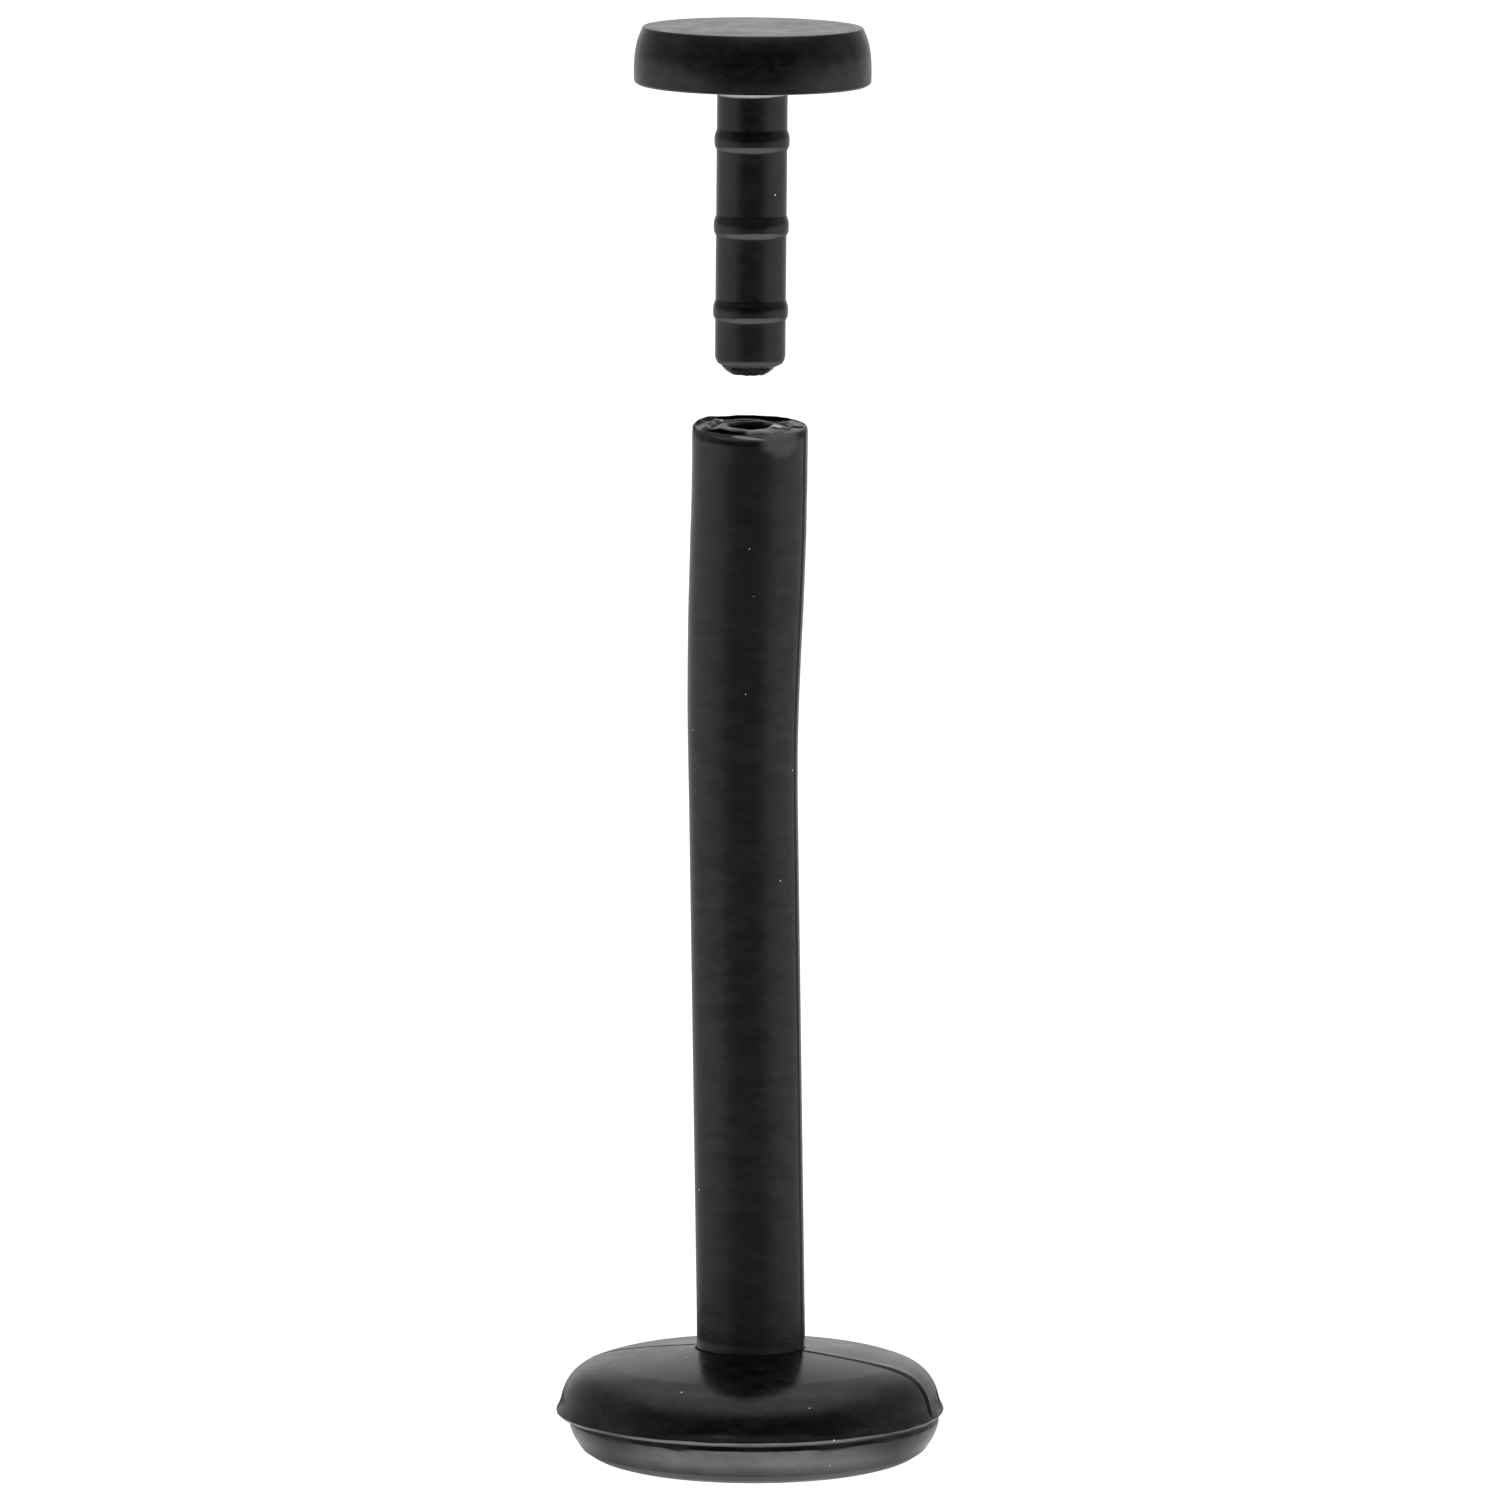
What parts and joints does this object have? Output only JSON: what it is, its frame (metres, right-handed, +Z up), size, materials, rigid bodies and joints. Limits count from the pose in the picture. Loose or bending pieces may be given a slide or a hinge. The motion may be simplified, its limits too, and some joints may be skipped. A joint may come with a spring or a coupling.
{
  "type": "push-fit labret stud",
  "caption": "Flexible moulded piercing stud: a bowed hollow-ended stem on a round base, with a flat disc top on a ribbed pin that pushes into the stem.",
  "frame": {"origin": "on the axis of the flash bead that runs round the base, in the plane of the base's flat underside", "axes": "+Z up the stem to the disc top, -Y to the front, the side that the slanted mouth leans towards; the stem bows towards -X"},
  "size_m": [0.0042, 0.0042, 0.0155],
  "materials": {
    "black_polymer": "satin, as moulded"
  },
  "bodies": {
    "stem": {"moulded_stem": "black_polymer"},
    "top": {"disc_top": "black_polymer"}
  },
  "joints": [
    {"name": "top_push", "type": "slide", "parent": "stem", "child": "top", "axis": [0.0087, 0, 1], "range_m": [-0.00363, 0]}
  ]
}
